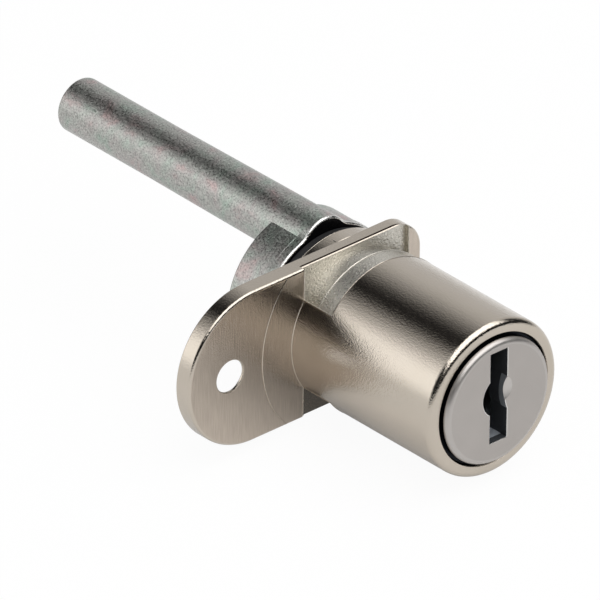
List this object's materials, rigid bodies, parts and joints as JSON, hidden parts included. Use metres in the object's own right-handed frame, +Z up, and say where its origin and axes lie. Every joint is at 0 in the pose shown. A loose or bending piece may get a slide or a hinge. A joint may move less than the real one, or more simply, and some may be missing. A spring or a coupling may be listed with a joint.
{
  "type": "pedestal lock",
  "caption": "Flange-mounted furniture cylinder lock with a wafer core that swings a long offset drive rod to work a desk pedestal's locking bar.",
  "frame": {"origin": "on the lock axis, in the flange's front face, which seats against the panel", "axes": "+Y along the lock axis from the key side to the drive rod, +Z up towards the drive rod at rest, the fixing ear towards -X"},
  "size_m": [0.0322, 0.0654, 0.0192],
  "materials": {
    "nickel_plated_zinc": "bright nickel plate over a zinc die casting",
    "satin_nickel": "satin nickel, fine bead-blasted face",
    "passivated_zinc_plate": "zinc plate with iridescent passivation, cast grain",
    "bright_steel": "turned steel",
    "spring_steel": "drawn stainless spring wire and strip",
    "stamped_nickel_silver": "stamped nickel silver strip",
    "black_nylon": "moulded black nylon"
  },
  "bodies": {
    "lock_body": {"housing": "nickel_plated_zinc", "stop_pin": "bright_steel", "spring_washer": "spring_steel", "thrust_washer": "black_nylon"},
    "rotor": {"core": "satin_nickel", "driver": "bright_steel", "crank": "passivated_zinc_plate", "wafer_spring_1": "spring_steel", "wafer_spring_2": "spring_steel", "wafer_spring_3": "spring_steel", "wafer_spring_4": "spring_steel", "wafer_spring_5": "spring_steel", "wafer_spring_6": "spring_steel", "retaining_spring": "spring_steel"},
    "tumbler_1": {"wafer_1": "stamped_nickel_silver"},
    "tumbler_2": {"wafer_2": "stamped_nickel_silver"},
    "tumbler_3": {"wafer_3": "stamped_nickel_silver"},
    "tumbler_4": {"wafer_4": "stamped_nickel_silver"},
    "tumbler_5": {"wafer_5": "stamped_nickel_silver"},
    "tumbler_6": {"wafer_6": "stamped_nickel_silver"},
    "retainer": {"retaining_wafer": "stamped_nickel_silver"}
  },
  "joints": [
    {"name": "key_turn", "type": "hinge", "parent": "lock_body", "child": "rotor", "pos_m": [0, 0, 0], "axis": [0, 1, 0], "range_deg": [0, 180]},
    {"name": "wafer_1_slide", "type": "slide", "parent": "rotor", "child": "tumbler_1", "axis": [0, 0, 1], "range_m": [0, 0.0007], "stiffness_N_per_m": 150, "springref_m": 0.002, "deforming": ["wafer_spring_1"]},
    {"name": "wafer_2_slide", "type": "slide", "parent": "rotor", "child": "tumbler_2", "axis": [0, 0, -1], "range_m": [0, 0.0007], "stiffness_N_per_m": 150, "springref_m": 0.002, "deforming": ["wafer_spring_2"]},
    {"name": "wafer_3_slide", "type": "slide", "parent": "rotor", "child": "tumbler_3", "axis": [0, 0, 1], "range_m": [0, 0.0007], "stiffness_N_per_m": 150, "springref_m": 0.002, "deforming": ["wafer_spring_3"]},
    {"name": "wafer_4_slide", "type": "slide", "parent": "rotor", "child": "tumbler_4", "axis": [0, 0, -1], "range_m": [0, 0.0007], "stiffness_N_per_m": 150, "springref_m": 0.002, "deforming": ["wafer_spring_4"]},
    {"name": "wafer_5_slide", "type": "slide", "parent": "rotor", "child": "tumbler_5", "axis": [0, 0, 1], "range_m": [0, 0.0007], "stiffness_N_per_m": 150, "springref_m": 0.002, "deforming": ["wafer_spring_5"]},
    {"name": "wafer_6_slide", "type": "slide", "parent": "rotor", "child": "tumbler_6", "axis": [0, 0, -1], "range_m": [0, 0.0007], "stiffness_N_per_m": 150, "springref_m": 0.002, "deforming": ["wafer_spring_6"]},
    {"name": "retainer_slide", "type": "slide", "parent": "rotor", "child": "retainer", "axis": [0, 0, -1], "range_m": [-0.0005, 0], "stiffness_N_per_m": 150, "springref_m": 0.0015, "deforming": ["retaining_spring"]}
  ]
}
